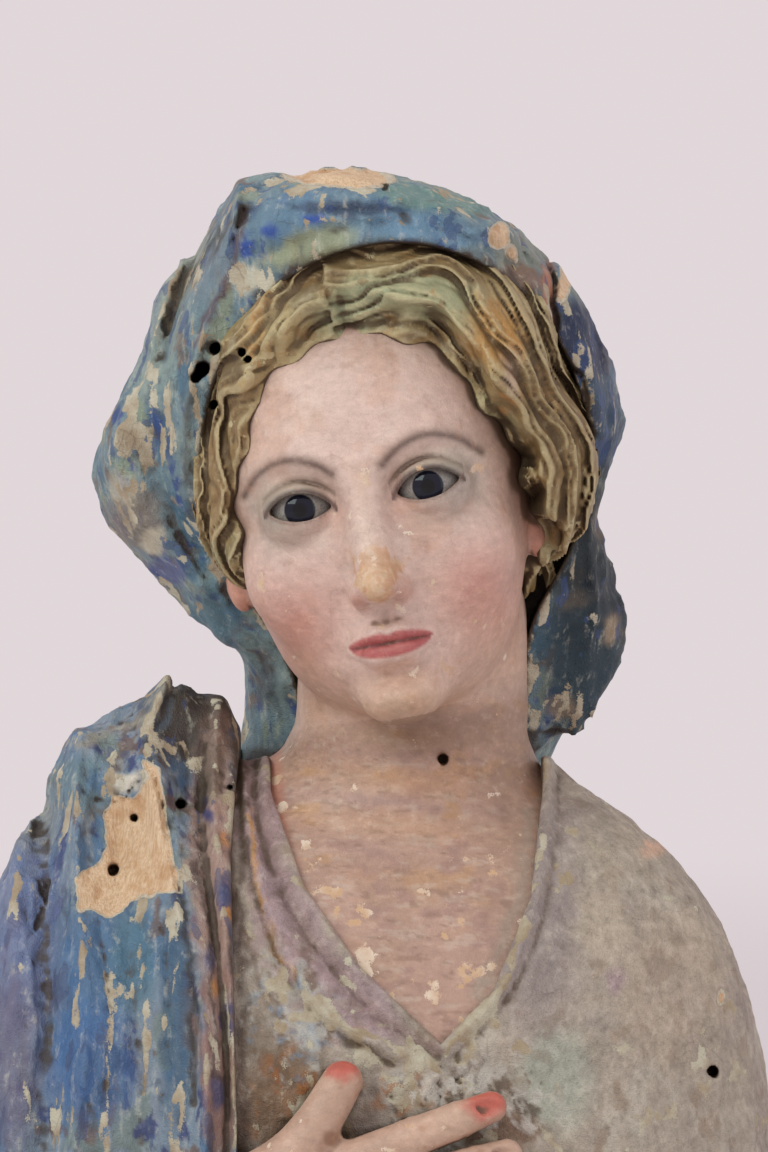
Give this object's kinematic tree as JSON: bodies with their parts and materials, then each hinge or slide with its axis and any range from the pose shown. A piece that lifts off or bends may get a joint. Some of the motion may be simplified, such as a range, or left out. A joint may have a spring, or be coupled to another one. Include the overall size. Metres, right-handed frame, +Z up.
{
  "type": "wooden saint bust",
  "caption": "Carved and painted wooden bust of a veiled female saint with glass eyes, one hand on the breast, cut flat below.",
  "frame": {"origin": "on the flat underside, below the middle of the neck", "axes": "+Z up; the saint faces -Y; +X is the saint's left side"},
  "size_m": [0.2358, 0.1435, 0.3201],
  "materials": {
    "painted_wood": "flaking matt oil paint on gesso over carved wood",
    "eye_glass": "painted glass, polished"
  },
  "bodies": {
    "root": {"figure": "painted_wood", "left_eye": "eye_glass", "right_eye": "eye_glass"}
  },
  "joints": []
}
